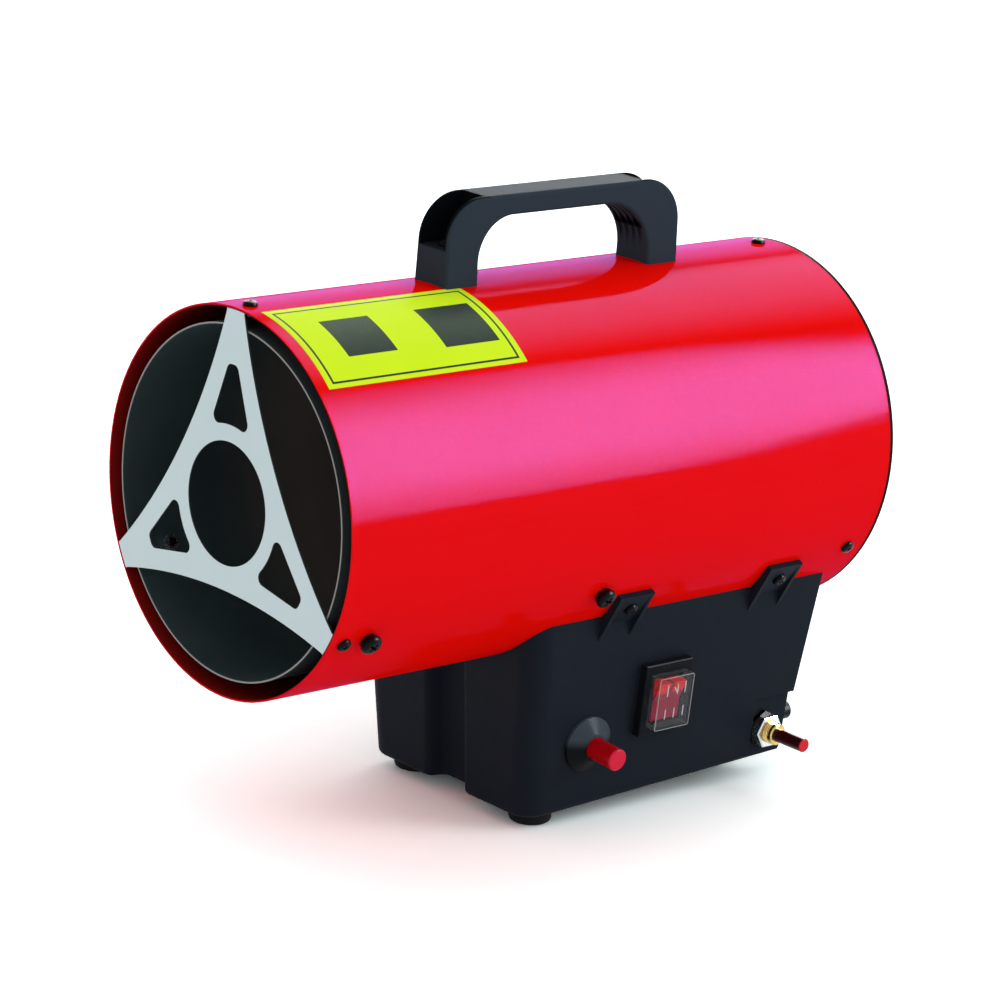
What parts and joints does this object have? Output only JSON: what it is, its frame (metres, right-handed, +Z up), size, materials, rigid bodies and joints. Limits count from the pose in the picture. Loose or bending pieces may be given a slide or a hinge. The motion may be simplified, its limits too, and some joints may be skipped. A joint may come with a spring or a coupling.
{
  "type": "portable gas heater",
  "caption": "Tubular forced-air gas heater with an open outlet behind a slim guard, a carrying handle on top, and a moulded control tray with rocker switch, igniter button and gas valve.",
  "frame": {"origin": "on the floor, under the middle of the casing", "axes": "+Z up; the casing lies along Y with its hot outlet towards -Y and its fan grille towards +Y; switch, igniter and valve are on the +X side"},
  "size_m": [0.185, 0.3462, 0.3049],
  "materials": {
    "casing_red": "gloss",
    "chamber_steel": "satin, heat-darkened",
    "guard_grey": "satin",
    "grille_black": "satin",
    "black_steel": "satin, blackened",
    "zinc_steel": "satin, zinc plated",
    "bright_steel": "satin",
    "burner_steel": "satin",
    "motor_black": "satin",
    "fan_aluminium": "satin",
    "brass": "satin",
    "ceramic": "glazed",
    "tray_plastic": "fine grain",
    "handle_plastic": "fine grain",
    "foot_rubber": "matt",
    "switch_black": "satin",
    "collar_grey": "satin",
    "button_red": "gloss",
    "pin_red": "gloss",
    "clear_cover": "clear",
    "inlet_dark": "satin, blackened",
    "pipe_copper": "satin",
    "lead_white": "satin",
    "lead_black": "satin"
  },
  "bodies": {
    "housing": {"outer_casing": "casing_red", "combustion_chamber": "chamber_steel", "chamber_spacers": "zinc_steel", "chamber_screws": "black_steel", "chamber_nuts": "zinc_steel", "front_guard": "guard_grey", "guard_screws": "black_steel", "rear_grille": "grille_black", "grille_screws": "black_steel", "fan_motor": "motor_black", "motor_screws": "zinc_steel", "flame_cup": "burner_steel", "burner_spider": "burner_steel", "spider_screws": "zinc_steel", "burner_nozzle": "brass", "electrode_ceramic": "ceramic", "electrode_pin": "bright_steel", "thermocouple": "bright_steel", "control_tray": "tray_plastic", "tab_screws": "black_steel", "foot_front_left": "foot_rubber", "foot_front_right": "foot_rubber", "foot_rear_left": "foot_rubber", "foot_rear_right": "foot_rubber", "foot_screws": "zinc_steel", "switch_body": "switch_black", "switch_cover": "clear_cover", "switch_terminals": "brass", "igniter_body": "switch_black", "igniter_collar": "collar_grey", "valve_body": "brass", "valve_bush": "brass", "valve_backing_nut": "black_steel", "valve_nut": "zinc_steel", "gas_inlet": "inlet_dark", "cable_gland": "switch_black", "gland_nut": "switch_black", "handle": "handle_plastic", "handle_screws": "black_steel", "gas_pipe": "pipe_copper", "ignition_lead": "lead_white", "thermocouple_lead": "pipe_copper", "motor_lead": "lead_black"},
    "igniter_plunger": {"igniter_button": "button_red"},
    "valve_plunger": {"valve_button": "pin_red"},
    "rocker": {"switch_rocker": "button_red"},
    "rotor": {"fan": "fan_aluminium", "motor_shaft": "bright_steel"}
  },
  "joints": [
    {"name": "igniter_press", "type": "slide", "parent": "housing", "child": "igniter_plunger", "axis": [-0.9969, 0, 0.0785], "range_m": [0, 0.006], "stiffness_N_per_m": 1500, "springref_m": -0.002},
    {"name": "valve_press", "type": "slide", "parent": "housing", "child": "valve_plunger", "axis": [-1, 0, 0], "range_m": [0, 0.005], "stiffness_N_per_m": 1500, "springref_m": -0.003},
    {"name": "rocker_tilt", "type": "hinge", "parent": "housing", "child": "rocker", "pos_m": [0.0648, 0.0527, 0.05974], "axis": [0, -1, 0], "range_deg": [0, 22]},
    {"name": "fan_spin", "type": "hinge", "parent": "housing", "child": "rotor", "pos_m": [0, 0.1, 0.171], "axis": [0, 1, 0], "continuous": true}
  ]
}
